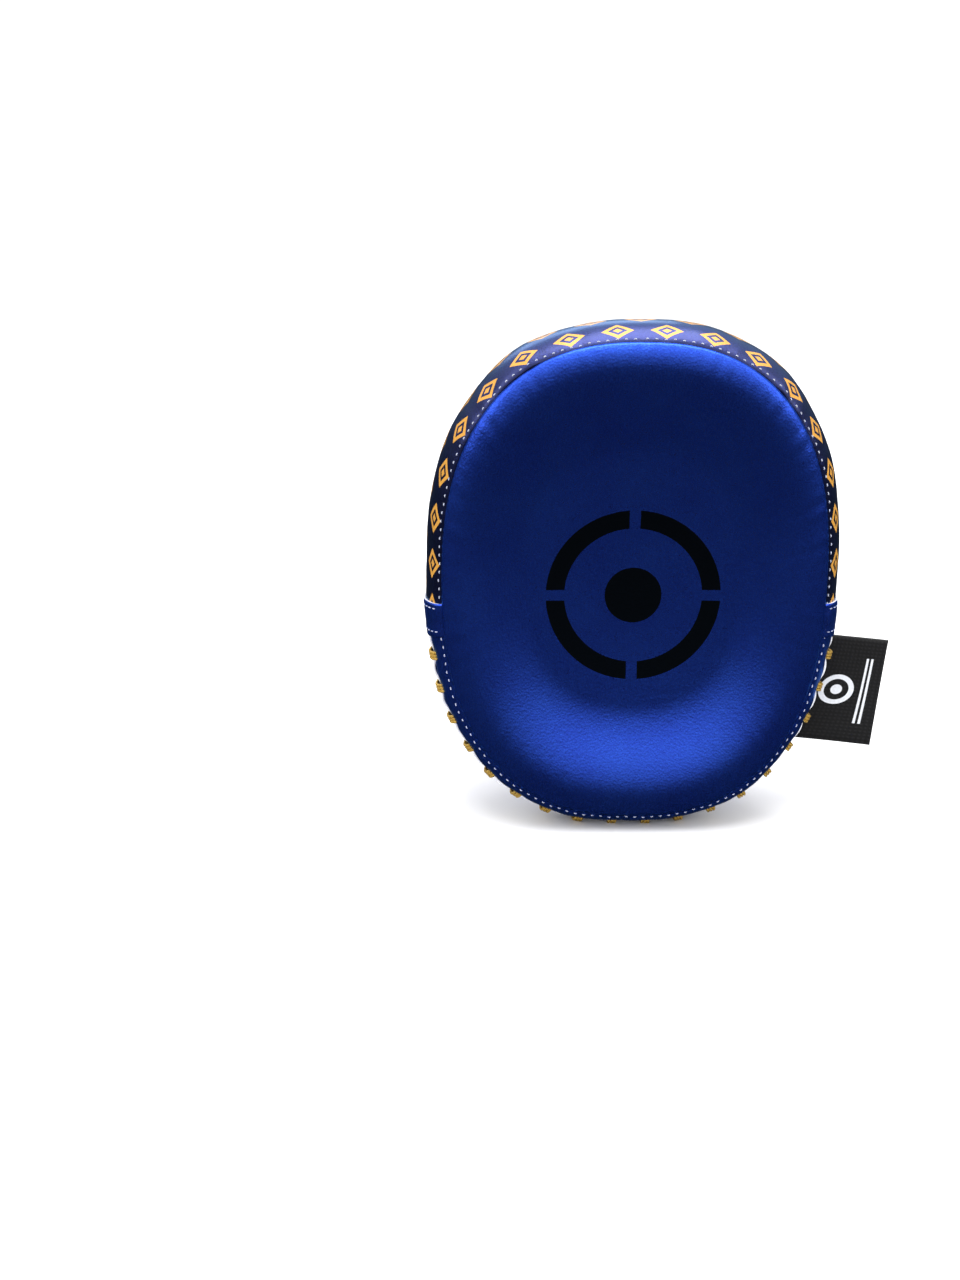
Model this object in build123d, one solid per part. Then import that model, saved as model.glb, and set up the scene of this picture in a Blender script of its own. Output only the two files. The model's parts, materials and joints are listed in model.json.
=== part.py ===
from build123d import *
import math
import os

# A right-hand boxing focus mitt, upright. The striking face looks along -Y and the hand side along +Y.
# The finger end is at +Z, and the label and the index finger are on the +X side.
# The origin is the crown of the back panel, in the middle of the space that the hand fills.

# ---- driving dimensions (mm) ----
pad_width = 190.0
pad_length = 236.0
outline_power = 2.4
band_depth = 35.0
dome_rise = 22.0
dome_power = 2.6
length_bend = 13.0
width_bend = 3.0
rim_rise = 6.0
rim_centre = 0.84
rim_spread = 0.17
dish_depth = 8.0
leather = 1.6
panel_leather = 1.4

foam_front_depth = 17.0
back_foam_edge = 4.0
core_depth = band_depth - foam_front_depth - back_foam_edge
rim_roll_width = 20.0

print_end_z = -12.0
tab_width = 14.0
lace_depth = 13.0
lace_gap = 6.0
lace_pitch = 16.0
lace_width = 3.6
lace_reach = 2.5
lace_thickness = 1.6
lace_end_clearance = 9.0
gusset_leather = 1.2
gusset_lap = 6.0

thread = 0.8

glove_cuff_z = -66.0
web_z = 12.0
finger_edges = [-66.0, -30.0, 2.0, 34.0, 66.0]
finger_gap = 1.4
finger_names = ["little", "ring", "middle", "index"]
finger_ends = [44.0, 75.0, 77.0, 56.0]
finger_crests = [-43.0, -13.0, 19.0, 50.0]
crest_heights = [20.0, 33.0, 32.0, 31.0]
lift_step = 8.0
shingle_overlap = 6.0
shingle_gap = 0.8
shingle_edge = 2.0
lap_arch = 2.0
tuck_drop = 1.0
sleeve_leather = 1.8
patch_leather = 1.2
patch_margin = 5.0
foot_depth = 5.0

label_top_z = -28.0
label_behind_lacing = 5.5
label_depth = lace_depth + lace_gap / 2 + lace_reach + label_behind_lacing
label_height = 50.0
label_reach = 25.0
label_lean = 7.5
label_thickness = 1.2
label_clearance = 0.6
label_hinge_gap = 0.8

half_w = pad_width / 2
half_l = pad_length / 2
far = max(pad_width, pad_length)
outline_points = 32


# ---- shape functions ----
def radius_at(x, z):
    """Superellipse radius: 0 at the middle of the pad and 1 on its outline."""
    power = abs(x / half_w) ** outline_power + abs(z / half_l) ** outline_power
    return power ** (1 / outline_power)


def bend_at(x, z):
    """How far the curved pad falls away towards its striking side."""
    return -length_bend * (z / half_l) ** 2 - width_bend * (x / half_w) ** 2


def back_y(x, z):
    """Outer surface of the domed back panel."""
    return bend_at(x, z) - dome_rise * radius_at(x, z) ** dome_power


def face_y(x, z):
    """Outer surface of the striking face: a raised padded rim round a shallow dish."""
    r = radius_at(x, z)
    rim = rim_rise * math.exp(-((r - rim_centre) / rim_spread) ** 2)
    dish = dish_depth * max(0.0, 1 - r * r) ** 1.5
    return bend_at(x, z) - dome_rise - band_depth - rim + dish


def front_layer_y(x, z):
    """Plane of the bent joint between the front foam and the core."""
    return bend_at(x, z) - dome_rise - band_depth + foam_front_depth


def core_layer_y(x, z):
    """Plane of the bent joint between the core and the back foam."""
    return front_layer_y(x, z) + core_depth


def outline_point(angle, inset=0.0):
    """A point of the outline, moved in by inset, at a superellipse angle in degrees."""
    c = math.cos(math.radians(angle))
    s = math.sin(math.radians(angle))
    x = (half_w - inset) * math.copysign(abs(c) ** (2 / outline_power), c)
    z = (half_l - inset) * math.copysign(abs(s) ** (2 / outline_power), s)
    return x, z


def outline_x(z, inset=0.0):
    """Half width of the outline at a height."""
    share = abs(z / (half_l - inset)) ** outline_power
    return (half_w - inset) * max(0.0, 1 - share) ** (1 / outline_power)


def prism(inset=0.0):
    """The outline, moved in by inset, carried right through the pad along Y."""
    angles = [360 * step / outline_points for step in range(outline_points)]
    points = [Vector(x, -far, z) for x, z in (outline_point(a, inset) for a in angles)]
    wire = Wire([Edge.make_spline(points, periodic=True)])
    return Solid.extrude(Face(wire), Vector(0, 2 * far, 0))


made_sheets = {}


def sheet(surface, shift=0.0):
    """A smooth face over the whole pad, at the height that the surface function gives."""
    if surface not in made_sheets:
        made_sheets[surface] = grid_face(surface)
    return Pos(0, shift, 0) * made_sheets[surface]


def grid_face(surface):
    """One smooth face through a grid of points of the surface."""
    columns = 17
    rows = 21
    over = 8.0
    grid = []
    for i in range(columns):
        x = (half_w + over) * (2 * i / (columns - 1) - 1)
        row = []
        for j in range(rows):
            z = (half_l + over) * (2 * j / (rows - 1) - 1)
            row.append(Vector(x, surface(x, z), z))
        grid.append(row)
    return Face.make_surface_from_array_of_points(grid, tol=0.1, max_deg=5)


def behind(surface, shift=0.0):
    """Everything on the hand side of a surface."""
    return Solid.extrude(sheet(surface, shift), Vector(0, far, 0))


def between(front, back, front_shift=0.0, back_shift=0.0):
    """The layer from one surface back to another."""
    return behind(front, front_shift) - behind(back, back_shift)


def slab(surface, thickness):
    """A layer of even thickness whose front is the surface."""
    return Solid.extrude(sheet(surface), Vector(0, thickness, 0))


def block(low, high):
    """A box between two corners."""
    size = [b - a for a, b in zip(low, high)]
    middle = [(a + b) / 2 for a, b in zip(low, high)]
    return Pos(*middle) * Box(*size)


# ---- outlines used by several pieces ----
whole = prism()
inside = prism(leather)
ring = whole - inside

# ---- striking face, back panel ----
parts = {}
face_slab = slab(face_y, leather)
parts["striking_face_panel"] = face_slab & whole
back_slab = Solid.extrude(sheet(back_y, -panel_leather), Vector(0, panel_leather, 0))
parts["back_panel"] = back_slab & whole

# ---- side band: printed part, plain tabs and the laced cuff, all in one wall ----
wall = ring & between(face_y, back_y, leather, -panel_leather)
tab_end_z = print_end_z - tab_width
above_print = block((-far, -far, print_end_z), (far, far, far))
tab_zone = block((0, -far, tab_end_z), (far, far, print_end_z))
left_zone = block((-far, -far, tab_end_z), (0, far, print_end_z))
below_tabs = block((-far, -far, -far), (far, far, tab_end_z))
parts["printed_side_band"] = wall & above_print
parts["right_seam_tab"] = wall & tab_zone
parts["left_seam_tab"] = wall & left_zone


def lace_front_y(x, z):
    """Front edge of the laced gap in the cuff band."""
    return bend_at(x, z) - dome_rise - band_depth + lace_depth - lace_gap / 2


def lace_back_y(x, z):
    """Back edge of the laced gap in the cuff band."""
    return lace_front_y(x, z) + lace_gap


cuff_wall = wall & below_tabs
parts["cuff_band_front"] = cuff_wall - behind(lace_front_y)
parts["cuff_band_back"] = cuff_wall & behind(lace_back_y)

gusset_ring = inside - prism(leather + gusset_leather)
parts["cuff_gusset"] = gusset_ring & below_tabs & between(lace_front_y, lace_back_y, -gusset_lap, gusset_lap)

# ---- gold lacing: one flat loop at each pair of holes, over the gap ----
lace_layer = between(lace_front_y, lace_back_y, -lace_reach, lace_reach)
lace_strip = (prism(-lace_thickness) - whole) & below_tabs & lace_layer


def cuff_angles():
    """Outline angles of the lace holes, at an even pitch round the cuff."""
    start = -180.0
    steps = 720
    points = [outline_point(start + 180.0 * i / steps) for i in range(steps + 1)]
    travelled = [0.0]
    for a, b in zip(points, points[1:]):
        travelled.append(travelled[-1] + math.dist(a, b))
    laced = [i for i, point in enumerate(points) if point[1] < tab_end_z - lace_end_clearance]
    first = travelled[laced[0]]
    room = travelled[laced[-1]] - first
    count = int(room / lace_pitch) + 1
    margin = (room - (count - 1) * lace_pitch) / 2
    angles = []
    for k in range(count):
        goal = first + margin + k * lace_pitch
        i = min(range(steps + 1), key=lambda n: abs(travelled[n] - goal))
        angles.append(start + 180.0 * i / steps)
    return angles


loops = []
for angle in cuff_angles():
    x, z = outline_point(angle)
    x_next, z_next = outline_point(angle + 0.5)
    turn = math.degrees(math.atan2(z_next - z, x_next - x))
    cutter = Location((x, 0, z), (0, -turn, 0)) * Box(lace_width, 2 * far, 4 * lace_thickness)
    loops.append(lace_strip & cutter)
parts["gold_lacing"] = loops

# ---- foam filling ----
front_filling = between(face_y, front_layer_y, leather)
roll_inner = prism(leather + gusset_leather + rim_roll_width)
filling_prism = prism(leather + gusset_leather)
parts["rim_roll_foam"] = (filling_prism - roll_inner) & front_filling
parts["impact_foam"] = roll_inner & front_filling
parts["shock_core_foam"] = filling_prism & between(front_layer_y, core_layer_y)
parts["back_foam"] = filling_prism & between(core_layer_y, back_y, 0, -panel_leather)

# ---- palm patch: one flat layer of leather under the four finger sleeves ----
patch_slab = Solid.extrude(sheet(back_y), Vector(0, patch_leather, 0))
patch_zones = []
for k, end_z in enumerate(finger_ends):
    low_x = finger_edges[k] - (patch_margin if k == 0 else 0)
    high_x = finger_edges[k + 1] + (patch_margin if k == 3 else 0)
    patch_zones.append(block((low_x, -far, glove_cuff_z), (high_x, far, end_z + patch_margin)))
patch_area = patch_zones[0] + patch_zones[1] + patch_zones[2] + patch_zones[3]
parts["palm_patch"] = patch_slab & patch_area


def base_y(x, z):
    """Top of the palm patch, on which the sleeves are sewn."""
    return back_y(x, z) + patch_leather


under_sleeves = Solid.extrude(sheet(base_y), Vector(0, -far, 0))


# ---- finger sleeves: arched leather strips, each lapped over the one on its little-finger side ----
def mix(a, b, share):
    """The point a share of the way from a to b."""
    return tuple(p + (q - p) * share for p, q in zip(a, b))


def finger_half(k, z, side):
    """One side of the arch over a finger, foot first: a straight leg and a quarter ellipse."""
    left, right = finger_edges[k], finger_edges[k + 1]
    inset = (finger_gap + sleeve_leather) / 2
    foot_x = left + inset if side < 0 else right - inset
    crest_x = finger_crests[k]
    top = crest_heights[k]
    shoulder = top - min(top - 2.0, abs(foot_x - crest_x))
    points = [(foot_x, base_y(foot_x, z) - foot_depth)]
    for angle in (0, 30, 60):
        x = crest_x + (foot_x - crest_x) * math.cos(math.radians(angle))
        y = shoulder + (top - shoulder) * math.sin(math.radians(angle))
        points.append((x, y))
    return points


def lapped_half(k, raised):
    """The little-finger side over the palm, lying on the crest of the sleeve below it."""
    start = (finger_crests[k - 1] + shingle_edge, crest_heights[k - 1] + sleeve_leather + shingle_gap)
    if not raised:
        start = (start[0] + shingle_overlap, start[1])
    crest = (finger_crests[k], crest_heights[k])
    points = [mix(start, crest, share) for share in (0.0, 0.25, 0.5, 0.75)]
    return [(x, y + lap_arch * math.sin(math.pi * n / 4)) for n, (x, y) in enumerate(points)]


def tucked_half(k):
    """The index side over the palm, which ends just past the crest, under the next sleeve."""
    top = crest_heights[k]
    start = (finger_crests[k] + shingle_overlap, top - tuck_drop)
    return [mix(start, (finger_crests[k], top), share) for share in (0.0, 0.25, 0.5, 0.75)]


def sleeve_section(k, z):
    """Closed outline of a sleeve's wall at one height."""
    near = finger_half(k, z, -1)
    if k > 0 and z < web_z - 1:
        near = lapped_half(k, z < web_z - lift_step - 1)
    beyond = finger_half(k, z, 1)
    if k < 3 and z < web_z + 1:
        beyond = tucked_half(k)
    line = near + [(finger_crests[k], crest_heights[k])] + beyond[::-1]
    outer = []
    inner = []
    for n, (x, y) in enumerate(line):
        before = line[max(0, n - 1)]
        after = line[min(len(line) - 1, n + 1)]
        length = math.dist(before, after)
        side_x = -(after[1] - before[1]) / length * sleeve_leather / 2
        side_y = (after[0] - before[0]) / length * sleeve_leather / 2
        outer.append(Vector(x + side_x, y + side_y, z))
        inner.append(Vector(x - side_x, y - side_y, z))
    return Wire.make_polygon(outer + inner[::-1], close=True)


def sleeve(k):
    """One leather sleeve, carried along the finger and cut to the palm patch."""
    stations = [finger_ends[k], web_z + lift_step, web_z, web_z - lift_step, web_z - 2 * lift_step, glove_cuff_z]
    shell = Solid.make_loft([sleeve_section(k, z) for z in stations], ruled=True)
    return shell - under_sleeves


for k, name in enumerate(finger_names):
    parts[name + "_finger_sleeve"] = sleeve(k)

# ---- seam threads round the face and the back ----
thread_ring = prism(leather) - prism(leather + thread)
parts["face_seam_thread"] = thread_ring & (behind(face_y, -thread / 2) - behind(face_y))
parts["back_seam_thread"] = thread_ring & (behind(back_y) - behind(back_y, thread / 2))

# ---- side label: a folded ribbon sewn into the side wall, just behind the lacing ----
label_low_z = label_top_z - label_height
top_x = outline_x(label_top_z)
low_x = outline_x(label_low_z)
hinge_tilt = math.atan2(top_x - low_x, label_height)
bulge = max(
    outline_x(label_top_z - label_height * s / 20)
    - (top_x + (low_x - top_x) * s / 20)
    for s in range(21)
)
hinge_shift = (bulge * math.cos(hinge_tilt) + label_clearance) / math.cos(hinge_tilt)
hinge_top = (top_x + hinge_shift, label_top_z)
hinge_low = (low_x + hinge_shift, label_low_z)
label_mid_z = (label_top_z + label_low_z) / 2
label_y = bend_at(outline_x(label_mid_z), label_mid_z) - dome_rise - band_depth + label_depth
lean = math.radians(label_lean)


def label_corner(start):
    """The free corner of the label beyond a point of its hinge line."""
    return start[0] + label_reach * math.cos(lean), start[1] - label_reach * math.sin(lean)


outward = (math.cos(hinge_tilt), -math.sin(hinge_tilt))
flap_top = (hinge_top[0] + label_hinge_gap * outward[0], hinge_top[1] + label_hinge_gap * outward[1])
flap_low = (hinge_low[0] + label_hinge_gap * outward[0], hinge_low[1] + label_hinge_gap * outward[1])
corners = [flap_top, label_corner(flap_top), label_corner(flap_low), flap_low]
flap_wire = Wire.make_polygon([Vector(x, label_y - label_thickness / 2, z) for x, z in corners], close=True)
parts["side_label"] = Solid.extrude(Face(flap_wire), Vector(0, label_thickness, 0))

root_inner = 3 * label_clearance
root_corners = [
    (hinge_top[0], hinge_top[1]),
    (hinge_low[0], hinge_low[1]),
    (low_x - root_inner, hinge_low[1]),
    (top_x - root_inner, hinge_top[1]),
]
root_points = [Vector(x, label_y - label_thickness / 2, z) for x, z in root_corners]
root_plate = Solid.extrude(Face(Wire.make_polygon(root_points, close=True)), Vector(0, label_thickness, 0))
parts["label_sewn_edge"] = root_plate - whole

print("hinge", [round(v, 3) for v in (hinge_low[0], label_y, hinge_low[1])], "tilt", math.degrees(hinge_tilt))

# ---- write one STEP file for each sub-part ----
os.makedirs("parts", exist_ok=True)
for name, shape in parts.items():
    solids = []
    for item in shape if isinstance(shape, list) else [shape]:
        solids.extend(item.solids())
    piece = solids[0] if len(solids) == 1 else Compound(children=solids)
    piece.label = name
    export_step(piece, "parts/" + name + ".step")
    print(name, len(solids), round(sum(s.volume for s in solids), 1))
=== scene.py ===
import json
import math

import bmesh
import bpy
import numpy as np
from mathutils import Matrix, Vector


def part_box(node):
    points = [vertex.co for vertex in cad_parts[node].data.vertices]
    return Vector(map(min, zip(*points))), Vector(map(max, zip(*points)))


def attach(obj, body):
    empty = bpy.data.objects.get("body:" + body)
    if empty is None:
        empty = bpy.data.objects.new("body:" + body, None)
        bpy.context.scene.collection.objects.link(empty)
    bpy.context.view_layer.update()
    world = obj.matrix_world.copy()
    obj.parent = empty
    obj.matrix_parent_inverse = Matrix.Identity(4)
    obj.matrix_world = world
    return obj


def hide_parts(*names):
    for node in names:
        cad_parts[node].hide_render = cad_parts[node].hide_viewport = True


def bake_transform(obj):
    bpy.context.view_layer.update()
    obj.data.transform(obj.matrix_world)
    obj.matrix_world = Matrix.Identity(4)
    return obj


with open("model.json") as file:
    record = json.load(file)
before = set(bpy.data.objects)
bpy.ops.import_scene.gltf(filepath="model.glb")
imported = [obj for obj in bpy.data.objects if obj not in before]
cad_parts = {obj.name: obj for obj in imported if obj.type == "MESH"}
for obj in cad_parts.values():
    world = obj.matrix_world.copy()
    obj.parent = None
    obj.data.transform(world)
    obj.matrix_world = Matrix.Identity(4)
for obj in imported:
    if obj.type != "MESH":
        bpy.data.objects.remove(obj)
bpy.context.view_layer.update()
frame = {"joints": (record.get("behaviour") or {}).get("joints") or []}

# ------------------------
# Studio: a pale floor that the mitt stands on, a white room, a wide soft box overhead and a
# weak fill. The camera looks slightly down at the striking face, a little left of the mitt.
scene = bpy.context.scene


def linear(hex_colour):
    """An sRGB hex colour as linear RGBA: each channel goes through the sRGB curve."""
    channels = [int(hex_colour[i:i + 2], 16) / 255 for i in (1, 3, 5)]
    return [c / 12.92 if c <= 0.04045 else ((c + 0.055) / 1.055) ** 2.4 for c in channels] + [1.0]


def feed(tree, node, inputs):
    """Sets or links a node's inputs. A node given as a value links its first output."""
    for key, value in inputs.items():
        if isinstance(value, bpy.types.Node):
            value = value.outputs[0]
        if isinstance(value, bpy.types.NodeSocket):
            tree.links.new(value, node.inputs[key])
        else:
            node.inputs[key].default_value = value


def add(tree, kind, inputs=(), **settings):
    """Adds a shader node, sets its properties, and sets or links its inputs."""
    node = tree.nodes.new("ShaderNode" + kind)
    for key, value in settings.items():
        setattr(node, key, value)
    feed(tree, node, dict(inputs))
    return node


def new_material(name):
    """A new node material with its tree and its principled shader."""
    material = bpy.data.materials.new(name)
    material.use_nodes = True
    tree = material.node_tree
    return material, tree, tree.nodes["Principled BSDF"]


camera_tilt = math.radians(18)
camera_distance = 0.807
mitt_right_of_axis = 0.070
mitt_above_axis = 0.030
face_middle = Vector((0, -0.045, 0))
forward = Vector((0, math.cos(camera_tilt), -math.sin(camera_tilt)))
upward = Vector((0, math.sin(camera_tilt), math.cos(camera_tilt)))
aim = face_middle - Vector((mitt_right_of_axis, 0, 0)) - mitt_above_axis * upward
camera_data = bpy.data.cameras.new("camera")
camera_data.sensor_fit = "VERTICAL"
camera_data.sensor_height = 24
camera_data.lens = 32.8
camera = bpy.data.objects.new("camera", camera_data)
scene.collection.objects.link(camera)
camera.location = aim - camera_distance * forward
camera.rotation_euler = forward.to_track_quat("-Z", "Y").to_euler()
scene.camera = camera

floor_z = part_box("striking_face_panel")[0][2]
floor_mesh = bpy.data.meshes.new("floor")
floor_reach = 40.0
corner_ways = ((-1, -1), (1, -1), (1, 1), (-1, 1))
floor_corners = [(x * floor_reach, y * floor_reach, floor_z) for x, y in corner_ways]
floor_mesh.from_pydata(floor_corners, [], [(0, 1, 2, 3)])
floor = bpy.data.objects.new("floor", floor_mesh)
scene.collection.objects.link(floor)
floor.visible_glossy = False
floor_paint, tree, shader = new_material("matte_white_floor")
feed(tree, shader, {"Base Color": linear("#f4f4f4"), "Roughness": 0.9})
floor_mesh.materials.append(floor_paint)


def soft_box(name, place, aim_at, size, power):
    """A square area light at a place, turned to a point."""
    light = bpy.data.lights.new(name, "AREA")
    light.shape = "RECTANGLE"
    light.size, light.size_y = size
    light.energy = power
    lamp = bpy.data.objects.new(name, light)
    scene.collection.objects.link(lamp)
    lamp.location = place
    lamp.rotation_euler = (Vector(aim_at) - Vector(place)).to_track_quat("-Z", "Y").to_euler()


soft_box("overhead", (0.05, -0.15, 1.10), (0, -0.05, 0), (1.2, 0.8), 15)
soft_box("left_window", (-1.3, -0.5, 0.75), (0, 0, 0), (0.5, 0.9), 3)
soft_box("right_window", (1.3, -0.4, 0.75), (0, 0, 0), (0.5, 0.9), 3)
soft_box("behind", (-0.3, 1.3, 0.9), (0, 0, 0), (1.2, 0.6), 6)

# The room is plain white, but gloss mirrors it as dark below and bright above, as in a studio.
room_light = 1.12
mirrored_light = 1.9
wall_shades = ((0.44, 0.026), (0.53, 0.06), (0.63, 0.24), (0.78, 0.62))
room = bpy.data.worlds.new("room")
room.use_nodes = True
scene.world = room
tree = room.node_tree
direction = add(tree, "SeparateXYZ", {0: add(tree, "TexCoord").outputs["Generated"]})
height = add(tree, "MapRange", {"Value": direction.outputs["Z"], "From Min": -1.0, "From Max": 1.0})
walls = add(tree, "ValToRGB", {"Fac": height})
floor_stop, ceiling_stop = walls.color_ramp.elements
floor_stop.position, floor_stop.color = 0.30, (0.022, 0.022, 0.022, 1)
ceiling_stop.position, ceiling_stop.color = 0.95, (1, 1, 1, 1)
for place, shade in wall_shades:
    walls.color_ramp.elements.new(place).color = (shade, shade, shade, 1)
ray = add(tree, "LightPath")
reflected = add(tree, "Math", {0: walls, 1: mirrored_light}, operation="MULTIPLY")
strength = add(tree, "Mix", {0: ray.outputs["Is Glossy Ray"], 2: room_light, 3: reflected})
feed(tree, tree.nodes["Background"], {"Strength": strength, "Color": linear("#ffffff")})
scene.view_settings.view_transform = "Standard"

# ------------------------
# Pad shape: the oval outline and the bent surfaces that all the covers share, in millimetres.
# The pad is curved towards its striking side, and its two seams lie a little inside the outline.
low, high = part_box("striking_face_panel")
half_w = 500 * (high[0] - low[0])
half_l = 500 * (high[2] - low[2])
outline_power = 2.4
length_bend = 13.0
width_bend = 3.0
dome_rise = 22.0
band_depth = 35.0
seam_inset = 7.5
mean_radius = (half_w + half_l) / 2
outline_steps = 2880


def bend(x, z):
    """Fall of the bent pad towards its striking side: a parabola along it and a weak one across."""
    return -length_bend * (z / half_l) ** 2 - width_bend * (x / half_w) ** 2


def oval(share, inset=0.0):
    """Points of the outline at shares of its length, from the finger end towards the index side.
    The outline is a superellipse, x = a sin^(2/n), z = b cos^(2/n), walked at an even pace."""
    angle = np.linspace(0, 2 * np.pi, outline_steps + 1)
    s, c = np.sin(angle), np.cos(angle)
    x = (half_w - inset) * np.sign(s) * np.abs(s) ** (2 / outline_power)
    z = (half_l - inset) * np.sign(c) * np.abs(c) ** (2 / outline_power)
    walked = np.concatenate([[0], np.cumsum(np.hypot(np.diff(x), np.diff(z)))])
    goal = (np.asarray(share) % 1.0) * walked[-1]
    return np.interp(goal, walked, x), np.interp(goal, walked, z)


x_walk, z_walk = oval(np.linspace(0, 1, 2001))
perimeter = float(np.hypot(np.diff(x_walk), np.diff(z_walk)).sum())


def waves(u, seed, shortest, longest, count=7):
    """A smooth random ripple of period 1 in u: a sum of sines over the root of their count, each
    with a wavelength in mm between the two given."""
    rng = np.random.default_rng(seed)
    total = 0
    for _ in range(count):
        turns = round(perimeter / rng.uniform(shortest, longest))
        total = total + np.sin(2 * np.pi * turns * u + rng.uniform(0, 2 * np.pi))
    return total / math.sqrt(count)


def smooth(value, start, end):
    """Smooth step from 0 at start to 1 at end."""
    t = np.clip((value - start) / (end - start), 0, 1)
    return t * t * (3 - 2 * t)


def mesh_piece(name, vertices, faces, material, uv=None):
    """A smooth-shaded object from vertices in mm and quads, with an optional UV per vertex. The
    vertices may come as a grid of points."""
    vertices = np.asarray(vertices).reshape(-1, 3)
    mesh = bpy.data.meshes.new(name)
    mesh.from_pydata((vertices / 1000).tolist(), [], np.asarray(faces).tolist())
    mesh.materials.append(material)
    if uv is not None:
        corner = np.zeros(len(mesh.loops), dtype=np.int32)
        mesh.loops.foreach_get("vertex_index", corner)
        layer = mesh.uv_layers.new(name="pattern")
        layer.data.foreach_set("uv", uv.reshape(-1, 2)[corner].astype(np.float32).ravel())
    mesh.polygons.foreach_set("use_smooth", [True] * len(mesh.polygons))
    piece = bpy.data.objects.new(name, mesh)
    scene.collection.objects.link(piece)
    return piece


def grid_faces(rows, columns, ring=False):
    """Quads of a grid of rows by columns vertices; ring joins the last column to the first."""
    index = np.arange(rows * columns).reshape(rows, columns)
    right = np.roll(index, -1, axis=1)
    if not ring:
        index, right = index[:, :-1], right[:, :-1]
    a, b, c, d = index[:-1], right[:-1], right[1:], index[1:]
    return np.stack([a, b, c, d], axis=-1).reshape(-1, 4)


def thicken(piece, thickness_mm, rim_material=None, offset=-1.0, raw_inside=False):
    """Gives a surface its leather thickness, with the raw cut edge in another material, and the
    flesh side too where raw_inside is set."""
    wall = piece.modifiers.new("leather_thickness", "SOLIDIFY")
    wall.thickness = thickness_mm / 1000
    wall.offset = offset
    wall.use_even_offset = False
    if rim_material is not None:
        piece.data.materials.append(rim_material)
        wall.material_offset_rim = 1
        wall.material_offset = int(raw_inside)
    return piece


def weld(piece):
    """Joins doubled vertices, such as those at the pole of a round grid."""
    work = bmesh.new()
    work.from_mesh(piece.data)
    bmesh.ops.remove_doubles(work, verts=work.verts, dist=1e-6)
    work.to_mesh(piece.data)
    work.free()
    return piece


def turned_out(points, faces, middle):
    """The faces of a grid of points, reversed if most of them look towards the middle point."""
    p = points.reshape(-1, 3)[faces]
    normals = np.cross(p[:, 2] - p[:, 0], p[:, 3] - p[:, 1])
    away = ((p.mean(axis=1) - middle) * normals).sum()
    return faces if away > 0 else faces[:, ::-1]


def seated(piece, slot, *nodes, body="root"):
    """Hides the solids that a piece stands for and gives the piece its body. The slot is not used."""
    if nodes:
        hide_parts(*nodes)
    if body:
        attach(piece, body)
    return piece

# ------------------------
# Leather: polyurethane coated leather with a metallic blue foil under a clear coat. It has a
# fine pebble grain, a sparkle of flakes, soft creases, and a white fibre core at its cut edges.
flake_mm = 0.45
patch_mm = 28
pebble_mm = 1.1
pebble_height = 0.12
crease_mm = 4.0
worn_mm = 45
fibre_mm = 0.5
foil_metallic = 0.95


def leather(name, deep, bright, crease_height=0.21, coat=0.22, print_on=None):
    """Metallic foil leather: flake noise tints it, and Voronoi pebbles and noise creases, each of
    a height in mm, bump it. The flakes are drawn at 0.45 mm, coarser than real ones, to show."""
    material, tree, shader = new_material(name)
    place = add(tree, "TexCoord").outputs["Object"]
    flakes = add(tree, "TexNoise", {"Vector": place, "Scale": 1000 / flake_mm, "Detail": 1.0})
    patches = add(tree, "TexNoise", {"Vector": place, "Scale": 1000 / patch_mm, "Detail": 2.0})
    tone = add(tree, "Mix", {0: 0.25, 2: flakes, 3: patches})
    spread = add(tree, "MapRange", {"Value": tone, "From Min": 0.25, "From Max": 0.75})
    foil = add(tree, "Mix", {"Factor": spread, "A": linear(deep), "B": linear(bright)}, data_type="RGBA")
    pebbles = add(tree, "TexVoronoi", {"Vector": place, "Scale": 1000 / pebble_mm})
    creases = add(tree, "TexNoise", {"Vector": place, "Scale": 1000 / crease_mm, "Detail": 4.0,
                                     "Roughness": 0.7})
    worn = add(tree, "TexNoise", {"Vector": place, "Scale": 1000 / worn_mm, "Detail": 1.0})
    worked = add(tree, "MapRange", {"Value": worn, "From Min": 0.4, "From Max": 0.65,
                                    "To Min": 0.15, "To Max": 1.0})
    crease_bump = add(tree, "Bump", {"Height": creases, "Strength": worked,
                                     "Distance": crease_height / 1000})
    grain = add(tree, "Bump", {"Height": pebbles, "Strength": 0.6, "Normal": crease_bump,
                               "Distance": pebble_height / 1000})
    roughness = add(tree, "MapRange", {"Value": flakes, "From Min": 0.3, "From Max": 0.7,
                                       "To Min": 0.27, "To Max": 0.38})
    colour, metal = foil.outputs[2], foil_metallic
    if print_on is not None:
        colour, roughness, metal = print_on(tree, colour, roughness)
    feed(tree, shader, {"Base Color": colour, "Roughness": roughness, "Normal": grain, "Metallic": metal,
                        "Specular Tint": linear("#9fd4ff"), "Coat Weight": coat, "Coat Roughness": 0.28})
    return material


def raw_edge_material():
    """The cut edge of leather: white compressed fibre, dry and slightly fuzzy. Its tone varies at
    random with the fibres, and as the same noise bumps it, its hollows are painted darker as painted shade.
    """
    material, tree, shader = new_material("raw_leather_edge")
    place = add(tree, "TexCoord").outputs["Object"]
    fibre = add(tree, "TexNoise", {"Vector": place, "Scale": 1000 / fibre_mm, "Detail": 3.0})
    # The fibre tint is partly random fibre tone and partly painted shade in the hollows of the fibre bump.
    tint = add(tree, "Mix", {"Factor": fibre, "A": linear("#c9cbd6"), "B": linear("#f6f6fa")},
               data_type="RGBA")
    bump = add(tree, "Bump", {"Height": fibre, "Strength": 0.4, "Distance": 0.0003})
    feed(tree, shader, {"Base Color": tint.outputs[2], "Roughness": 0.85, "Normal": bump})
    return material


raw_edge = raw_edge_material()
blue_leather = leather("metallic_blue_leather", "#2238b2", "#3260dc")
soft_leather = leather("softer_blue_leather", "#263fba", "#3a6ee8", crease_height=0.96)

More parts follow.
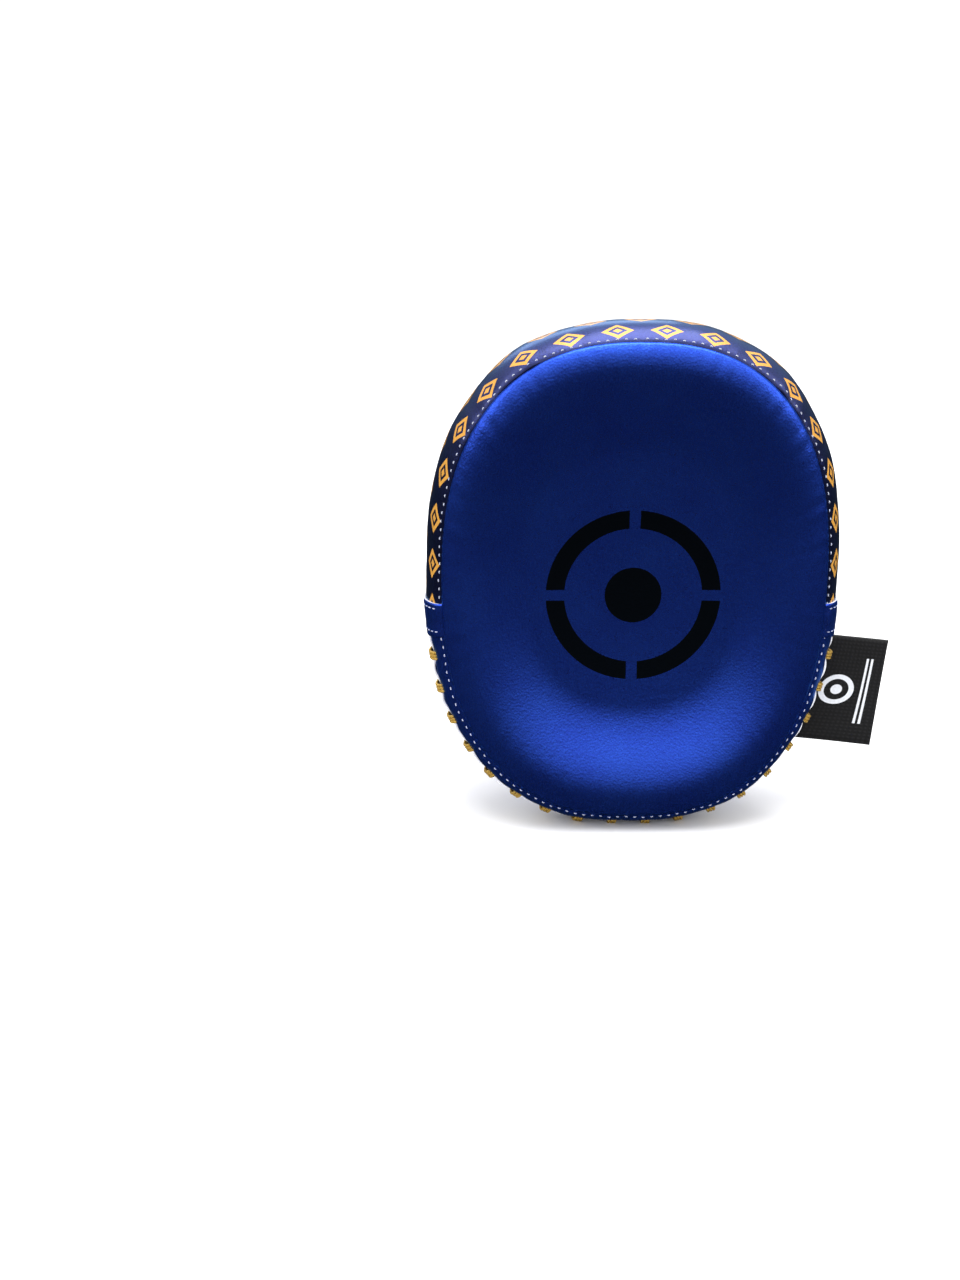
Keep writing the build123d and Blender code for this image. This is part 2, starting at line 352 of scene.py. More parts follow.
# ------------------------
# Striking face: one leather panel over shaped foam, a raised rim round a shallow dish. It turns
# down steeply to its seam, where the thread gathers it into short puckers. The target is ink.
face_leather = 1.4
pucker_height = 0.16
rim_wave_height = 0.5
rim_height = 7.5
rim_roll = 7.0
dish_drop = 10.5
dish_from, dish_to = 8, 46
target_drop = 7.0
target_outer = 40.0
target_inner = 31.5
target_dot = 13.0
target_gap = 5.0


def target_print(tree, colour, roughness):
    """Matte black ink where the distance from the target's middle is in the ring or the dot, less
    four gaps in the ring. Lengths are in mm."""
    place = add(tree, "TexCoord").outputs["Object"]
    flat = add(tree, "VectorMath", {0: place, 1: (1000, 0, 1000)}, operation="MULTIPLY")
    moved = add(tree, "VectorMath", {0: flat, 1: (0, 0, target_drop)}, operation="ADD")
    far = add(tree, "VectorMath", {0: moved}, operation="LENGTH").outputs["Value"]
    ring_middle, ring_half = (target_outer + target_inner) / 2, (target_outer - target_inner) / 2
    ring = add(tree, "Math", {0: far, 1: ring_middle, 2: ring_half}, operation="COMPARE")
    dot = add(tree, "Math", {0: far, 1: target_dot}, operation="LESS_THAN")
    ink = add(tree, "Math", {0: ring, 1: dot}, operation="MAXIMUM")
    parts = add(tree, "SeparateXYZ", {0: moved})
    gap_x, gap_z = [add(tree, "Math", {0: parts.outputs[axis], 1: 0.0, 2: target_gap / 2},
                        operation="COMPARE") for axis in "XZ"]
    gaps = add(tree, "Math", {0: gap_x, 1: gap_z}, operation="MAXIMUM")
    outside_dot = add(tree, "Math", {0: far, 1: target_dot + 1}, operation="GREATER_THAN")
    cut = add(tree, "Math", {0: gaps, 1: outside_dot}, operation="MULTIPLY")
    ink = add(tree, "Math", {0: ink, 1: cut}, operation="SUBTRACT", use_clamp=True)
    inked = add(tree, "Mix", {"Factor": ink, "A": colour, "B": linear("#020205")}, data_type="RGBA")
    dull = add(tree, "Mix", {0: ink, 2: roughness, 3: 0.62})
    metal = add(tree, "MapRange", {"Value": ink, "To Min": foil_metallic, "To Max": 0.8})
    return inked.outputs[2], dull, metal


def face_relief(q):
    """Height of the face over its seam plane: rim (1 - e^(-q/7)) less the dish, with q the
    distance in from the seam."""
    return rim_height * (1 - np.exp(-q / rim_roll)) - dish_drop * smooth(q, dish_from, dish_to)


def round_grid(inset, rows, columns):
    """Rays from the middle to the oval: x and z of the points, closer together near the edge,
    the distance in from the edge, and the share of the outline at which each ray ends."""
    share = np.arange(columns) / columns
    out = np.linspace(0, 1, rows) ** 0.8
    x_edge, z_edge = oval(share, inset)
    return np.outer(out, x_edge), np.outer(out, z_edge), (1 - out)[:, None] * (mean_radius - inset), share


def face_surface():
    """The face from its middle to its seam: the bent seam plane, the relief in front of it,
    puckers that fade within 15 mm of the seam, and a slow hand-made wave along the rim."""
    x, z, q, share = round_grid(seam_inset, 100, 480)
    gather = waves(share, 3, 7, 15)[None] * pucker_height * np.exp(-q / rim_roll) * (1 - np.exp(-q / 1.5))
    hand_made = waves(share, 4, 60, 160)[None] * rim_wave_height * np.exp(-((q - 14) / 14) ** 2)
    y = bend(x, z) - dome_rise - band_depth - face_relief(q) + gather + hand_made
    return np.stack([x, y, z], axis=-1)


def round_cover(name, points, middle, material):
    """A closed piece from a ringed grid of points, with its pole welded."""
    faces = turned_out(points, grid_faces(*points.shape[:2], True), middle)
    return weld(mesh_piece(name, points, faces, material))


target_leather = leather("metallic_blue_leather_with_target", "#2238b2", "#3260dc", coat=0.12,
                         print_on=target_print)
striking_face = round_cover("striking_face", face_surface(), (0, 100, 0), target_leather)
thicken(striking_face, face_leather)
seated(striking_face, "metallic_leather", "striking_face_panel")

# ------------------------
# Back panel: plain soft leather drawn over the back foam as a dome. The finger end is gathered
# into its seam, so creases run in from there towards the middle.
back_leather = 1.2
dome_power = 2.6
dome_fall = dome_rise - 2.0
tuck_depth = 2.5
tuck_width = 2.2
fold_height = 1.15
gather_height = 0.35


def dome(x, z):
    """The hand side: y = bend - 20 r^2.6 - 2.5 e^(-q/2.2), with r 0 at the crown and 1 at the seam
    and q the distance in from the seam, where the second term tucks it down."""
    ratio = (np.abs(x / (half_w - seam_inset)) ** outline_power
             + np.abs(z / (half_l - seam_inset)) ** outline_power)
    r = ratio ** (1 / outline_power)
    q = np.clip(1 - r, 0, None) * (mean_radius - seam_inset)
    return bend(x, z) - dome_fall * r ** dome_power - tuck_depth * np.exp(-q / tuck_width)


def back_surface():
    """The dome over the oval, with creases that follow the rays in from the finger end."""
    x, z, q, share = round_grid(seam_inset, 100, 480)
    finger_end = np.clip(np.cos(2 * np.pi * share), 0, 1)[None] ** 0.7
    strength = 0.15 + fold_height * finger_end
    crease = 0.5 - np.abs(waves(share, 11, 16, 34))[None]
    crease = crease * strength * np.exp(-q / 26) * (1 - np.exp(-q / 4))
    gather = waves(share, 12, 7, 14)[None] * gather_height * np.exp(-q / 6) * (1 - np.exp(-q / 1.5))
    return np.stack([x, dome(x, z) + crease + gather, z], axis=-1)


back_cover = round_cover("back_cover", back_surface(), (0, -100, 0), soft_leather)
thicken(back_cover, back_leather)
seated(back_cover, "metallic_leather", "back_panel")

# ------------------------
# Side band: the wall of the pad. The finger end and both sides are leather printed in gold with
# a small repeat; it bulges between its two seams, which draw it in to a narrow groove.
print_end_z = -12.0
tab_end_z = -26.0
motif_pitch = 22.0
motif_rows = 11.67
motif_half_width = 7.4
motif_half_height = 4.1
groove_depth = 1.1
groove_width = 0.9
wall_pucker = 0.22
wall_wave = 0.25
band_leather = 1.2
pad_middle = (0, -40, 0)


def share_at(z_wanted):
    """The share of the outline's length, on the index side, at which it reaches a height."""
    share = np.linspace(0, 0.5, 2001)
    return float(np.interp(-z_wanted, -oval(share)[1], share))


def band_surface(share, depth, proud=0.0):
    """Side wall at outline shares and depths in mm behind the face seam. It is drawn in by
    7.5 |2t - 1|^2.2 mm, with t the share of the depth, and by a groove beside each seam."""
    far_side = band_depth - depth
    drawn = seam_inset * np.abs(2 * depth / band_depth - 1) ** 2.2
    groove = groove_depth * (np.exp(-depth / groove_width) + np.exp(-far_side / groove_width))
    gathered = wall_pucker * waves(share, 21, 8, 17) * (np.exp(-depth / 7) + np.exp(-far_side / 7))
    inset = drawn + groove - gathered - wall_wave * waves(share, 22, 40, 90) - proud
    x0, z0 = oval(share)
    inward = -band_out(share)
    x = x0 + inward[..., 0] * inset
    z = z0 + inward[..., 2] * inset
    return np.stack([x, bend(x, z) - dome_rise - band_depth + depth, z], axis=-1)


def band_out(share):
    """Outward unit direction of the side wall: from the outline 10 mm inside to the outline."""
    x0, z0 = oval(share)
    x1, z1 = oval(share, 10.0)
    length = np.hypot(x0 - x1, z0 - z1)
    return np.stack([(x0 - x1) / length, np.zeros_like(x0), (z0 - z1) / length], axis=-1)


def gold_repeat(tree, colour, roughness):
    """Gold lozenges with a small core, in staggered rows, on the band's own UV map."""
    place = add(tree, "UVMap", uv_map="pattern")
    parts = add(tree, "SeparateXYZ", {0: place})
    across = add(tree, "Math", {0: parts.outputs["Y"], 1: 1000 / motif_rows}, operation="MULTIPLY")
    row = add(tree, "Math", {0: across}, operation="FLOOR")
    shift = add(tree, "Math", {0: row, 1: 0.5}, operation="MULTIPLY")
    along = add(tree, "Math", {0: parts.outputs["X"], 1: 1000 / motif_pitch, 2: shift},
                operation="MULTIPLY_ADD")

    def from_middle(value, pitch, half):
        """Distance from the middle of the repeat, as a share of the motif's half size."""
        fraction = add(tree, "Math", {0: value}, operation="FRACT")
        centred = add(tree, "Math", {0: fraction, 1: 0.5}, operation="SUBTRACT")
        size = add(tree, "Math", {0: centred}, operation="ABSOLUTE")
        return add(tree, "Math", {0: size, 1: pitch / half}, operation="MULTIPLY")

    wide = from_middle(along, motif_pitch, motif_half_width)
    tall = from_middle(across, motif_rows, motif_half_height)
    lozenge = add(tree, "Math", {0: wide, 1: tall}, operation="ADD")
    outer_line = add(tree, "Math", {0: lozenge, 1: 0.80, 2: 0.20}, operation="COMPARE")
    core = add(tree, "Math", {0: lozenge, 1: 0.30}, operation="LESS_THAN")
    ink = add(tree, "Math", {0: outer_line, 1: core}, operation="MAXIMUM")
    gold = add(tree, "Mix", {"Factor": ink, "A": colour, "B": linear("#d79a35")}, data_type="RGBA")
    dull = add(tree, "Mix", {0: ink, 2: roughness, 3: 0.5})
    metal = add(tree, "MapRange", {"Value": ink, "To Min": foil_metallic, "To Max": 0.25})
    return gold.outputs[2], dull, metal


printed_leather = leather("gold_printed_leather", "#1b2150", "#28316c", coat=0.5, print_on=gold_repeat)


def band_piece(name, first, last, depths, material, proud=0.0, step_mm=1.4):
    """A strip of the side wall between two outline shares, with the wall's own UV map in m. It
    stands proud of the wall, but not at its seams."""
    columns = np.linspace(first, last, int((last - first) * perimeter / step_mm) + 2)
    rows = depths(columns) if callable(depths) else depths[:, None]
    share, depth = np.broadcast_arrays(columns[None], rows)
    lift = proud * smooth(depth, 0, 2.5) * smooth(band_depth - depth, 0, 2.5)
    points = band_surface(share, depth, lift)
    uv = np.stack([share * perimeter, depth], axis=-1) / 1000
    faces = turned_out(points, grid_faces(*points.shape[:2]), pad_middle)
    return mesh_piece(name, points, faces, material, uv=uv)


by_seam = np.array([0, 0.5, 1, 1.6, 2.4])
full_depth = np.concatenate([by_seam, np.linspace(3.5, band_depth - 3.5, 20), band_depth - by_seam[::-1]])
print_end = share_at(print_end_z)
tab_end = share_at(tab_end_z)
side_band = band_piece("printed_band", -print_end, print_end, full_depth, printed_leather)
thicken(side_band, band_leather)
seated(side_band, "printed_leather", "printed_side_band")

# ------------------------
# Seam tabs: where the printed band ends, a plain strip is lapped over it on each side and sewn
# down with two rows. Its lower edge is left raw and shows white.
tab_leather = 1.1
tab_proud = 1.0
tab_lap = 1.5 / perimeter
tab_first, tab_last = print_end - tab_lap, tab_end + tab_lap
for name, first, last in (("right", tab_first, tab_last), ("left", -tab_last, -tab_first)):
    tab = band_piece(name + "_tab", first, last, full_depth, blue_leather, proud=tab_proud)
    thicken(tab, tab_leather, raw_edge)
    seated(tab, "metallic_leather", name + "_seam_tab")

# ------------------------
# Laced cuff: two plain strips close the pad round its cuff end. Their raw white edges meet in
# scallops, pulled together at each pair of lace holes, over a leather gusset.
lace_depth = 13.0
lace_pitch = 16.0
lace_count = 18
lace_shares = 0.5 + (np.arange(lace_count) - (lace_count - 1) / 2) * lace_pitch / perimeter
hole_pull = 0.8
cuff_leather = 1.3
gusset_leather = 1.0
gusset_sunk = 2.4
gusset_reach = 8.0


def laced(share, fade):
    """1 along the row of lace holes, falling to 0 beyond its two ends."""
    first, last = lace_shares[0], lace_shares[-1]
    return smooth(share, first - fade, first) * smooth(-share, -last - fade, -last)


def between_loops(share):
    """sin^2 of the place between two loops: 0 at each loop and 1 half-way between."""
    return np.sin(np.pi * (share - lace_shares[0]) * perimeter / lace_pitch) ** 2


def lace_gap(share):
    """Half the gap between the two edges, in mm: narrow at each loop and wide between loops."""
    held = laced(share, 0.012)
    return 0.9 + 1.9 * between_loops(share) * held + 1.0 * (1 - held)


def front_depths(share):
    """Rows of the front strip, from the face seam to its scalloped edge."""
    rows = np.linspace(0, 1, 16)[:, None] ** 0.9
    return rows * (lace_depth - lace_gap(share))[None]


def back_depths(share):
    """Rows of the back strip, from its scalloped edge to the back seam."""
    rows = 1 - np.linspace(1, 0, 24)[:, None] ** 0.9
    start = (lace_depth + lace_gap(share))[None]
    return start + rows * (band_depth - start)


def pulled(piece, puff):
    """Draws the leather in at each lace hole and lets it puff out between, fading over 5 mm."""
    flat = np.zeros(len(piece.data.vertices) * 3)
    piece.data.vertices.foreach_get("co", flat)
    points = flat.reshape(-1, 3) * 1000
    walk = np.linspace(0, 1, 1441)[:-1]
    walk_angle = np.arctan2(*oval(walk))
    order = np.argsort(walk_angle)
    angle = np.arctan2(points[:, 0], points[:, 2])
    share = (np.interp(angle, walk_angle[order], (walk[order] + 0.5) % 1) + 0.5) % 1
    depth = points[:, 1] - bend(points[:, 0], points[:, 2]) + dome_rise + band_depth
    near = np.exp(-((depth - lace_depth) / 5) ** 2)
    move = (puff * between_loops(share) - hole_pull) * near * laced(share, 0.02)
    length = np.hypot(points[:, 0], points[:, 2])[:, None]
    points[:, [0, 2]] += points[:, [0, 2]] / length * move[:, None]
    piece.data.vertices.foreach_set("co", (points / 1000).ravel())
    piece.data.update()
    return piece


for name, depths, puff in (("front", front_depths, 0.7), ("back", back_depths, 2.6)):
    strip = band_piece("cuff_" + name, tab_end, 1 - tab_end, depths, blue_leather, step_mm=1.0)
    thicken(pulled(strip, puff), cuff_leather, raw_edge)
    seated(strip, "metallic_leather", "cuff_band_" + name)
gusset_depths = np.linspace(lace_depth - gusset_reach, lace_depth + gusset_reach, 9)
gusset = band_piece("gusset", tab_end, 1 - tab_end, gusset_depths, blue_leather, proud=-gusset_sunk)
thicken(gusset, gusset_leather)
seated(gusset, "metallic_leather", "cuff_gusset")

# ------------------------
# Gold lacing: a twisted metallic cord, three turns side by side at every pair of holes. Each
# turn rises out of one hole, crosses the gap and goes down the other.
strand_radius = 0.72
strand_spacing = 1.4
strand_reach = 4.9
strand_slant = 0.9
strand_rise = 2.5
strand_bury = 1.3
strand_stagger = 0.3
no_path_runs_this_way = np.array([0.31, 0.52, 0.79])


def tube(paths, radius, sides=8):
    """Round tubes along paths of shape (n, points, 3): a ring about each point, in the plane
    square to the path, with the ends closed by a last ring of almost no radius."""
    count, steps = paths.shape[:2]
    along = np.gradient(paths, axis=1)
    along /= np.linalg.norm(along, axis=2, keepdims=True)
    first = np.cross(along, no_path_runs_this_way)
    first /= np.linalg.norm(first, axis=2, keepdims=True)
    second = np.cross(along, first)
    angle = np.arange(sides) / sides * 2 * np.pi
    thickness = np.full(steps, radius)
    thickness[[0, -1]] = radius * 0.05
    offset = first[:, :, None] * np.cos(angle)[:, None] + second[:, :, None] * np.sin(angle)[:, None]
    points = paths[:, :, None] + offset * thickness[:, None, None]
    faces = grid_faces(steps, sides, True)
    faces = np.concatenate([faces + k * steps * sides for k in range(count)])
    walked = np.linalg.norm(np.diff(paths, axis=1), axis=2).cumsum(axis=1)
    walked = np.concatenate([np.zeros((count, 1)), walked], axis=1)
    uv = np.stack([np.repeat(walked[:, :, None], sides, axis=2),
                   np.broadcast_to(angle / (2 * np.pi), (count, steps, sides))], axis=-1)
    return points.reshape(-1, 3), faces, uv.reshape(-1, 2)


def twisted_cord(name, dark, light, turn_mm, metallic, plies=2):
    """Two-ply cord: stripes wind round it on its UV map, one turn each turn_mm, and bump it.
    Its colour follows the stripes: the dark colour is painted shade in the grooves between the plies
    and the light colour a painted highlight on their crowns.
    """
    material, tree, shader = new_material(name)
    place = add(tree, "UVMap", uv_map="pattern")
    parts = add(tree, "SeparateXYZ", {0: place})
    turns = add(tree, "Math", {0: parts.outputs["X"], 1: 1 / turn_mm, 2: parts.outputs["Y"]},
                operation="MULTIPLY_ADD")
    wound = add(tree, "Math", {0: turns, 1: 2 * math.pi * plies}, operation="MULTIPLY")
    ply = add(tree, "Math", {0: wound}, operation="SINE")
    height = add(tree, "MapRange", {"Value": ply, "From Min": -1.0, "From Max": 1.0})
    # The tint is painted light: painted shade in the ply grooves, a painted highlight on the ply crowns.
    tint = add(tree, "Mix", {"Factor": height, "A": linear(dark), "B": linear(light)}, data_type="RGBA")
    bump = add(tree, "Bump", {"Height": height, "Strength": 0.8, "Distance": 0.00025})
    feed(tree, shader, {"Base Color": tint.outputs[2], "Normal": bump, "Metallic": metallic,
                        "Roughness": 0.38})
    return material


# Each cord's dark colour is painted shade in its ply grooves and its light colour a painted highlight on the
# ply crowns.
gold_cord = twisted_cord("gold_metallic_cord", "#a3731c", "#f3cf6c", 1.6, 0.45)
white_thread = twisted_cord("white_bonded_thread", "#aab4d4", "#eef2ff", 0.9, 0.0)


def lace_paths():
    """Three arcs per loop across the gap: each rises by 2.5 sin^0.6 mm from ends that are 1.3 mm
    below the leather, and slants a little."""
    t = np.linspace(0, 1, 13)
    paths = []
    for place in lace_shares:
        for turn in (-1, 0, 1):
            share = place + (turn * strand_spacing + strand_slant * (t - 0.5)) / perimeter
            depth = lace_depth + strand_reach * (2 * t - 1) + strand_stagger * turn
            rise = strand_rise * np.sin(np.pi * t) ** 0.6 - strand_bury
            paths.append(band_surface(share, depth, rise))
    return np.array(paths)


points, faces, uv = tube(lace_paths(), strand_radius)
lacing = mesh_piece("lacing", points, faces, gold_cord, uv=uv)
seated(lacing, "gold_cord", "gold_lacing")

# ------------------------
# Seam stitches: white bonded thread. A 1.4 mm stitch shows every 4 mm in the groove of the face
# seam and of the back seam, and a longer one down both edges of each tab.
seam_stitch = dict(pitch=4.0, length=1.4, radius=0.28)
tab_stitch = dict(pitch=3.4, length=2.0, radius=0.24)
stitch_inset = 1.5
tab_stitch_lift = 1.05


def stitches(track, lift, pitch, length, radius):
    """Stitches along a track of points: each is a short arc with its two ends in the leather.
    lift is the outward direction at each track point."""
    steps = np.linalg.norm(np.diff(track, axis=0), axis=1)
    walked = np.concatenate([[0], steps.cumsum()])
    middles = np.arange(pitch / 2, walked[-1], pitch)
    t = np.linspace(-0.5, 0.5, 6)
    goal = middles[:, None] + t[None] * length
    foot, out = [np.stack([np.interp(goal, walked, values[:, k]) for k in range(3)], axis=-1)
                 for values in (track, lift)]
    out /= np.linalg.norm(out, axis=2, keepdims=True)
    height = radius * (1.25 * np.cos(np.pi * t) ** 0.7 - 0.75)
    return tube(foot + out * height[None, :, None], radius, sides=6)


def joined(tubes):
    """One set of vertices, faces and UVs from several."""
    starts = np.cumsum([0] + [len(vertices) for vertices, _, _ in tubes])
    faces = np.concatenate([tube_faces + start for (_, tube_faces, _), start in zip(tubes, starts)])
    return np.concatenate([t[0] for t in tubes]), faces, np.concatenate([t[2] for t in tubes])


def thread_piece(name, rows_of_stitches, *nodes):
    """One piece of white thread from several rows of stitches."""
    points, faces, uv = joined(rows_of_stitches)
    seated(mesh_piece(name, points, faces, white_thread, uv=uv), "white_thread", *nodes)


round_share = np.linspace(0, 1, 1500)
for name, depth in (("face", stitch_inset), ("back", band_depth - stitch_inset)):
    track = band_surface(round_share, np.full_like(round_share, depth))
    thread_piece(name + "_stitches", [stitches(track, band_out(round_share), **seam_stitch)],
                 name + "_seam_thread")

tab_rows = []
depth = np.linspace(stitch_inset, band_depth - stitch_inset, 60)
for place in (print_end + 1.0 / perimeter, tab_end - 1.5 / perimeter):
    for side in (1, -1):
        share = np.full_like(depth, side * place)
        tab_rows.append(stitches(band_surface(share, depth, tab_stitch_lift), band_out(share), **tab_stitch))
thread_piece("tab_stitches", tab_rows)

# ------------------------
# Padding: the shaped foam inside the covers, one soft closed form a little smaller than they
# are. It stands for the four bonded foam layers, and shows only through the laced gap.
foam_gap = 3.0
pore_mm = 0.8


def foam_material():
    """Closed-cell foam: pale grey, matt, with a fine open-pore bump, and each pore painted darker
    towards its middle as painted shade in its pit.
    """
    material, tree, shader = new_material("closed_cell_foam")
    place = add(tree, "TexCoord").outputs["Object"]
    pores = add(tree, "TexVoronoi", {"Vector": place, "Scale": 1000 / pore_mm})
    # The tint is painted shade: dark at each pore's middle, where the bump is lowest.
    tint = add(tree, "Mix", {"Factor": pores, "A": linear("#3c3d44"), "B": linear("#6a6c75")},
               data_type="RGBA")
    bump = add(tree, "Bump", {"Height": pores, "Strength": 0.5, "Distance": 0.0002})
    feed(tree, shader, {"Base Color": tint.outputs[2], "Normal": bump, "Roughness": 0.95})
    return material


def foam_surface(columns=180):
    """Front from its middle out, round the side, and over the back to its middle."""
    share = np.arange(columns) / columns
    out = np.linspace(0, 1, 30)[:, None]
    x_edge, z_edge = oval(share, seam_inset + foam_gap)
    x, z = out * x_edge, out * z_edge
    front = bend(x, z) - dome_rise - band_depth - face_relief((1 - out) * mean_radius)
    face = np.stack([x, front + foam_gap, z], axis=-1)
    back = np.stack([x, dome(x, z) - foam_gap, z], axis=-1)[::-1]
    depth = np.linspace(4, band_depth - 4, 12)[:, None]
    x_side, z_side = oval(share, foam_gap)
    swell = 1 - 0.04 * np.abs(2 * depth / band_depth - 1) ** 2.2
    y_side = bend(x_side, z_side) - dome_rise - band_depth + depth
    side = np.stack([x_side * swell, y_side, z_side * swell], axis=-1)
    return np.concatenate([face, side, back])


padding = round_cover("padding", foam_surface(), pad_middle, foam_material())
seated(padding, "foam", "rim_roll_foam", "impact_foam", "shock_core_foam", "back_foam")

# ------------------------
# Palm patch: a flat leather layer sewn on the back panel under the finger sleeves. It reaches
# 5 mm past each sleeve, with a stepped finger end that is stitched down along its raw edge.
cuff_z = -66.0
finger_edges = [-66.0, -30.0, 2.0, 34.0, 66.0]
finger_ends = [44.0, 75.0, 77.0, 56.0]
patch_margin = 5.0
patch_underside = 0.5
patch_top = 1.6
patch_overhang = 0.8
patch_leather = 1.1
patch_x = [finger_edges[0] - patch_margin] + finger_edges[1:4] + [finger_edges[4] + patch_margin]


def patch_grid():
    """Grid lines over the patch, with a line on each edge of its stepped outline."""
    x = np.concatenate([np.linspace(a, b, 18) for a, b in zip(patch_x[:-1], patch_x[1:])])
    z_steps = [cuff_z - patch_overhang] + sorted(end + patch_margin for end in finger_ends)
    z = np.concatenate([np.linspace(a, b, max(3, int((b - a) / 2)))
                        for a, b in zip(z_steps[:-1], z_steps[1:])])
    return np.meshgrid(np.unique(x), np.unique(z))


x, z = patch_grid()
points = np.stack([x, dome(x, z) + patch_underside, z], axis=-1)
faces = grid_faces(*x.shape)
middle_x, middle_z = x.ravel()[faces].mean(axis=1), z.ravel()[faces].mean(axis=1)
finger = np.clip(np.searchsorted(patch_x, middle_x) - 1, 0, 3)
inside = middle_z < np.array(finger_ends)[finger] + patch_margin
faces = turned_out(points, faces[inside], (0, -100, 0))
patch = mesh_piece("palm_patch_leather", points, faces, soft_leather)
thicken(patch, patch_leather, raw_edge, offset=1.0)
seated(patch, "metallic_leather", "palm_patch")

# ------------------------
# Finger sleeves: four leather strips that arch over the fingers. Over the palm each is lapped
# over the one on its little-finger side, and its thick raw edge stands up between the seams.
finger_names = ["little", "ring", "middle", "index"]
finger_crests = [-43.0, -13.0, 19.0, 50.0]
crest_heights = [21.0, 33.0, 32.5, 31.5]
cross_seam_z = -50.0
palm_z = 6.0
lap_bulge = 3.6
lap_flare = 1.8
lap_slide = 5.0
end_droop = 3.0
seam_pin = 4.0
fold_relief = 0.75
seam_groove = 0.9
sleeve_leather = 1.7
vent_radius = 1.6
vent_rim_radius = 0.42
glove_stitch = dict(pitch=3.2, length=2.0, radius=0.22)
# Each vent hole's place: mm across the leather from the crest, and its height on the mitt.
vents = {"little": [(-4.0, 15.0), (-15.0, -7.0), (-24.0, 20.0)], "ring": [(-4.0, -13.0)],
         "middle": [(-5.0, 5.0), (-6.0, -13.0)], "index": []}


def crest_height(k, z):
    """Top of a sleeve: it droops to its finger end and is pinned down by the cross seam."""
    droop = end_droop * smooth(z, finger_ends[k] - 45, finger_ends[k])
    pinned = seam_pin * np.exp(-((z - cross_seam_z) / 8) ** 2)
    return crest_heights[k] - droop - pinned


def base(x, z):
    """Top of the palm patch."""
    return dome(x, z) + patch_top


def blended(first, second, share):
    """Each control point moved a share of the way from the first list to the second."""
    return [(a[0] + (b[0] - a[0]) * share, a[1] + (b[1] - a[1]) * share) for a, b in zip(first, second)]


def sleeve_control(k, z):
    """Nine control points across a sleeve for each z: edge, flange, wall, shoulder, crest and
    back down. From the fingers to the palm the walls lift off the patch and lap each other."""
    left, right, crest_x = finger_edges[k] + 1.6, finger_edges[k + 1] - 1.6, finger_crests[k]
    top = crest_height(k, z)
    left_foot, right_foot = base(left, z), base(right, z)
    rise, fall = top - left_foot, top - right_foot
    near = [(left - 1.2, left_foot + 0.5), (left + 0.2, left_foot + 0.9),
            (left - 0.2, left_foot + 0.55 * rise), (left + 0.18 * (crest_x - left), top - 0.3)]
    beyond = [(right - 0.18 * (right - crest_x), top - 0.3), (right + 0.2, right_foot + 0.55 * fall),
              (right - 0.2, right_foot + 0.9), (right + 1.0, right_foot + 0.5)]
    if k == 0:
        near = [(left - 3.5, base(left - 3.5, z) + 0.5), (left + 2.0, left_foot + 0.8),
                (left + 6.0, left_foot + 0.42 * rise), (left + 13.0, left_foot + 0.97 * rise)]
    else:
        under_x, under = finger_crests[k - 1], crest_height(k - 1, z)
        over_palm = np.clip((palm_z - z) / (palm_z - cross_seam_z), 0, 1)
        bulge = lap_bulge * np.sin(np.pi * over_palm) ** 0.8
        flare = lap_flare * smooth(-z, -cross_seam_z, -cuff_z)
        slide = lap_slide * smooth(-z, 0, 45)
        lap = [(under_x - 1.0 - slide, under + 2.3 + bulge + flare),
               (under_x + 4.0 - slide, under + 1.7 + 0.75 * bulge + 0.4 * flare),
               (under_x + 9.0, under + 1.9 + 0.25 * (top - under)),
               ((under_x + crest_x) / 2 + 5.0, under + 1.6 + 0.8 * (top - under))]
        near = blended(near, lap, smooth(-z, -6, 10))
    if k == 3:
        beyond = [(right - 8.0, right_foot + 0.95 * fall), (right - 3.0, right_foot + 0.55 * fall),
                  (right - 1.0, right_foot + 0.8), (right + 4.0, base(right + 4.0, z) + 0.5)]
    else:
        tucked = [(crest_x + 5.0, top - 0.3), (crest_x + 9.0, top - 1.0), (crest_x + 12.0, top - 2.2),
                  (crest_x + 15.0, top - 3.6)]
        beyond = blended(beyond, tucked, smooth(-z, -20, -6))
    control = near + [(crest_x, top + 1.5)] + beyond
    return np.stack([np.stack(np.broadcast_arrays(x, y, z), axis=-1) for x, y in control], axis=1)


def spline_across(control, steps):
    """Clamped uniform cubic B-spline over the second axis of an array of control points."""
    count = control.shape[1]
    knots = np.concatenate([[0] * 3, np.linspace(0, 1, count - 2), [1] * 3])
    t = np.linspace(0, 1 - 1e-9, steps)
    weight = [((knots[i] <= t) & (t < knots[i + 1])).astype(float) for i in range(len(knots) - 1)]
    for degree in (1, 2, 3):
        for i in range(len(knots) - 1 - degree):
            before, after = knots[i + degree] - knots[i], knots[i + degree + 1] - knots[i + 1]
            rising = (t - knots[i]) / before if before > 0 else 0
            falling = (knots[i + degree + 1] - t) / after if after > 0 else 0
            weight[i] = rising * weight[i] + falling * weight[i + 1]
    return np.einsum("cs,zck->zsk", np.array(weight[:count]), control)


def wander(a, b, seed, shortest, longest, count=10):
    """Smooth random relief over a plane: sines in random directions, of unit height over root n."""
    rng = np.random.default_rng(seed)
    total = 0
    for _ in range(count):
        turn, size, start = rng.uniform(0, np.pi), rng.uniform(shortest, longest), rng.uniform(0, 2 * np.pi)
        total = total + np.sin(2 * np.pi * (a * np.cos(turn) + b * np.sin(turn)) / size + start)
    return total / math.sqrt(count)


def grid_normals(points):
    """Unit normals of a grid of points, from the cross product of its two directions."""
    normal = np.cross(np.gradient(points, axis=0), np.gradient(points, axis=1))
    return normal / np.maximum(np.linalg.norm(normal, axis=2, keepdims=True), 1e-9)


